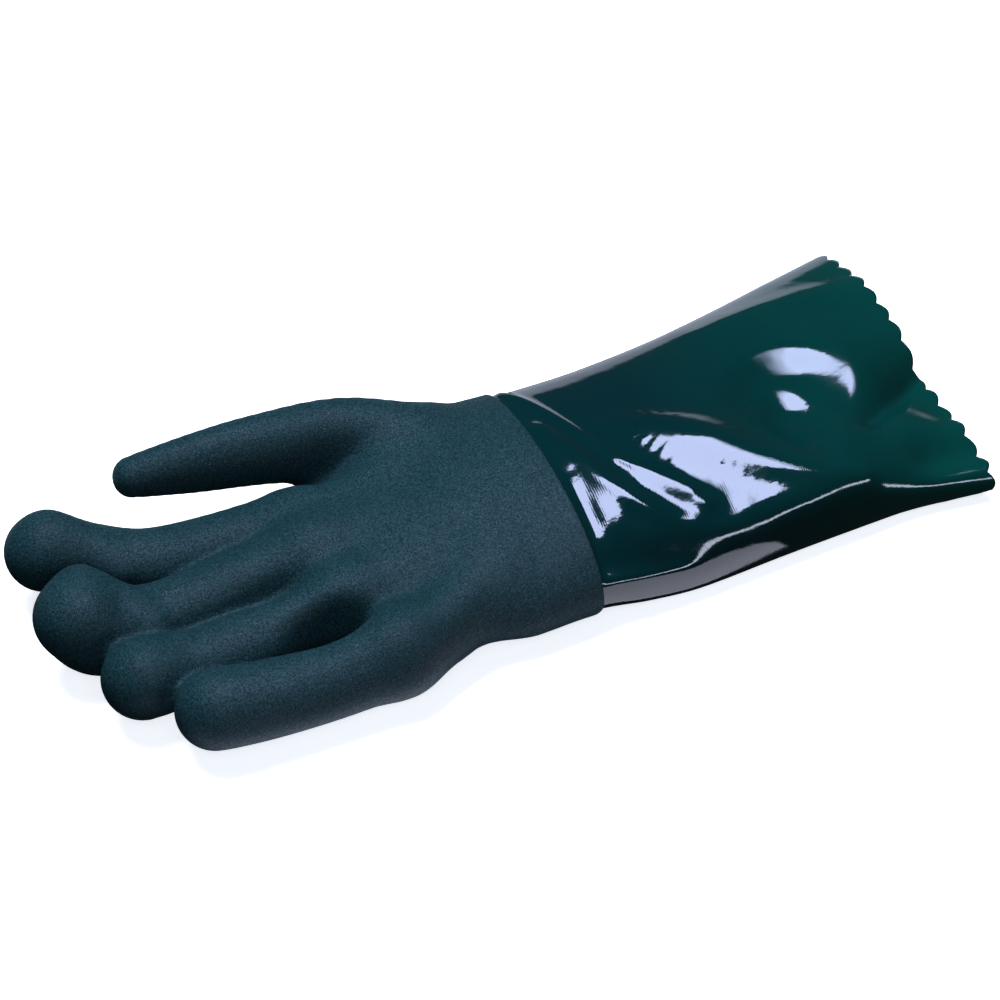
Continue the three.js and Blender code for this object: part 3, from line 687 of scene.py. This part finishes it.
# Glossy dark green, brighter toward the mouth, with fine ribs of cloth under it
def gloss_material():
    m = Nodes("smooth_coat")
    split = m.add("ShaderNodeSeparateXYZ")
    m.link(m.place, split.inputs["Vector"])
    toward_mouth = m.remap(split.outputs["X"], GREENING_X, (0.0, 1.0))
    clouds = m.noise(scale=22, detail=3.0, rough=0.5)
    smears = m.noise(scale=60, detail=2.0, rough=0.5)
    colour = m.mix(toward_mouth, GLOSS_WRIST, GLOSS_MOUTH)
    colour = m.mix(m.remap(clouds, (0.4, 0.7), (0.0, 0.4)), colour, GLOSS_CLOUD)
    ribs = m.add("ShaderNodeTexWave", wave_type="BANDS", bands_direction="X")
    ribs.inputs["Scale"].default_value = 400.0
    ribs.inputs["Distortion"].default_value = 1.5
    ribs.inputs["Detail"].default_value = 2.0
    ribs.inputs["Detail Scale"].default_value = 1.0
    m.link(m.place, ribs.inputs["Vector"])
    swell = m.bump(m.noise(scale=45, detail=2.0, rough=0.5), strength=0.15, distance=0.003)
    weave = m.bump(ribs.outputs["Fac"], strength=0.10, distance=0.00008, below=swell)
    pimples = m.noise(scale=700, detail=2.0, rough=0.5)
    m.shade(
        Base_Color=colour,
        Roughness=m.remap(smears, (0.3, 0.7), (0.05, 0.11)),
        Specular_IOR_Level=0.5,
        Coat_Weight=0.1,
        Coat_Roughness=0.05,
        Normal=m.bump(pimples, strength=0.10, distance=0.0003, below=weave),
    )
    return m.material


# Plain green knit
def knit_material():
    m = Nodes("knit_lining")
    thread = m.noise(scale=900, detail=2.0, rough=0.5)
    m.shade(
        Base_Color=m.mix(m.remap(thread, (0.35, 0.65), (0.0, 1.0)), KNIT_DARK, KNIT_LIGHT),
        Roughness=0.9,
        Normal=m.bump(thread, strength=0.6, distance=0.0004),
    )
    return m.material


# Gives an open surface a wall on its inner side
def thicken(obj, wall):
    modifier = obj.modifiers.new("thickness", "SOLIDIFY")
    modifier.thickness = wall * MM
    modifier.offset = -1.0


# The sandy coat of the hand, from the fingertips to the dip line
def sandy_hand_coat(material):
    vertices, quads = hand_surface(0.0, HAND_CELL)
    recess = np.clip(1 - vertices[:, 2] / DIP_LINE_HEIGHT, 0, 1) ** 2
    dip_line = DIP_LINE_X - DIP_LINE_RECESS * recess
    vertices, faces = clip_surface(vertices, quads, vertices[:, 0] - dip_line)
    coat = piece("sandy_hand_coat", vertices, faces, material, "hand_coating")
    thicken(coat, SANDY_SKIN)


# The knitted lining of the hand
def hand_lining(material):
    vertices, quads = hand_surface(-LINING_DEPTH, LINING_CELL)
    vertices, faces = clip_surface(vertices, quads, vertices[:, 0] - LAP_END_X)
    lining = piece("hand_lining", vertices, faces, material)
    thicken(lining, LINING)


# The smooth gauntlet, from under the sandy coat to the pinked mouth
def smooth_gauntlet(grid, material):
    vertices, faces = tube_shell(grid, 0.0, SKIN)
    piece("smooth_gauntlet", vertices, faces, material, "gauntlet")


# The knitted lining of the gauntlet, with half as many rows and points, ending just short of the mouth
def gauntlet_lining(grid, material):
    vertices, faces = tube_shell(grid[:-1:2, ::2], SKIN + LINING_GAP, GAUNTLET_WALL)
    piece("gauntlet_lining", vertices, faces, material)


# A pale floor that casts no light on the glove, so that its reflections come from the softboxes alone
def floor():
    mesh = bpy.data.meshes.new("floor")
    corners = [(-1, -1), (1, -1), (1, 1), (-1, 1)]
    mesh.from_pydata([(x * FLOOR_REACH, y * FLOOR_REACH, 0) for x, y in corners], [], [(0, 1, 2, 3)])
    obj = bpy.data.objects.new("floor", mesh)
    m = Nodes("floor")
    m.shade(
        Base_Color=FLOOR_COLOUR,
        Roughness=0.9,
        Emission_Color=FLOOR_GLOW,
        Emission_Strength=FLOOR_GLOW_STRENGTH,
    )
    mesh.materials.append(m.material)
    bpy.context.scene.collection.objects.link(obj)
    obj.visible_diffuse = False
    obj.visible_glossy = False


def softbox(name, place, aim, size, power, colour, matte=True, gloss=True):
    light = bpy.data.lights.new(name, "AREA")
    light.shape = "RECTANGLE"
    light.size, light.size_y = size
    light.energy = power
    light.color = colour
    obj = bpy.data.objects.new(name, light)
    obj.location = place
    obj.rotation_mode = "QUATERNION"
    obj.rotation_quaternion = (Vector(aim) - Vector(place)).to_track_quat("-Z", "Y")
    obj.visible_diffuse = matte
    obj.visible_glossy = gloss
    bpy.context.scene.collection.objects.link(obj)


# Softboxes for the matte shading and for the gloss apart, and two low cards that stand in for the pale floor
def studio_lights():
    softbox("overhead", place=(0.15, 0.0, 1.3), aim=(0.15, 0.0, 0.0), size=(0.9, 0.62),
            power=35.0, colour=(0.58, 0.66, 1.0), matte=False)
    softbox("key", place=(-0.1, 0.4, 1.25), aim=(0.0, 0.0, 0.0), size=(0.8, 0.5),
            power=27.0, colour=(0.84, 0.93, 1.0), gloss=False)
    softbox("fill", place=(-0.4, -0.9, 1.0), aim=(0.0, 0.0, 0.0), size=(0.8, 0.8),
            power=4.8, colour=(0.84, 0.93, 1.0), gloss=False)
    softbox("front strip", place=(0.75, -1.4, 0.42), aim=(0.05, -0.05, 0.02), size=(1.7, 0.16),
            power=10.0, colour=(0.7, 0.78, 1.0), matte=False)
    softbox("near card", place=(-0.085, -0.30, -0.004), aim=(-0.085, -0.30, 1.0), size=(0.36, 0.46),
            power=1.3, colour=(0.78, 0.82, 1.0), matte=False)
    softbox("far card", place=(0.08, 0.36, -0.004), aim=(0.08, 0.36, 1.0), size=(0.7, 0.56),
            power=0.9, colour=(0.74, 0.80, 1.0), matte=False)


def studio_world():
    world = bpy.data.worlds.new("studio")
    world.use_nodes = True
    background = world.node_tree.nodes["Background"]
    background.inputs["Color"].default_value = WORLD_COLOUR
    background.inputs["Strength"].default_value = WORLD_STRENGTH
    bpy.context.scene.world = world
    bpy.context.scene.view_settings.view_transform = "Standard"


def add_camera():
    data = bpy.data.cameras.new("camera")
    data.sensor_width = SENSOR_WIDTH
    data.lens = CAMERA_LENS
    data.shift_y = CAMERA_SHIFT_Y
    level = math.cos(ELEVATION)
    back = Vector((math.sin(AZIMUTH) * level, -math.cos(AZIMUTH) * level, math.sin(ELEVATION)))
    camera = bpy.data.objects.new("camera", data)
    camera.location = Vector(TARGET) + back * DISTANCE
    camera.rotation_mode = "QUATERNION"
    camera.rotation_quaternion = (-back).to_track_quat("-Z", "Y")
    bpy.context.scene.collection.objects.link(camera)
    bpy.context.scene.camera = camera


knit = knit_material()
sandy_hand_coat(sandy_material())
hand_lining(knit)

grid = gauntlet_grid(GAUNTLET_ROWS, GAUNTLET_POINTS)
smooth_gauntlet(grid, gloss_material())
gauntlet_lining(grid, knit)

floor()
studio_lights()
studio_world()
add_camera()
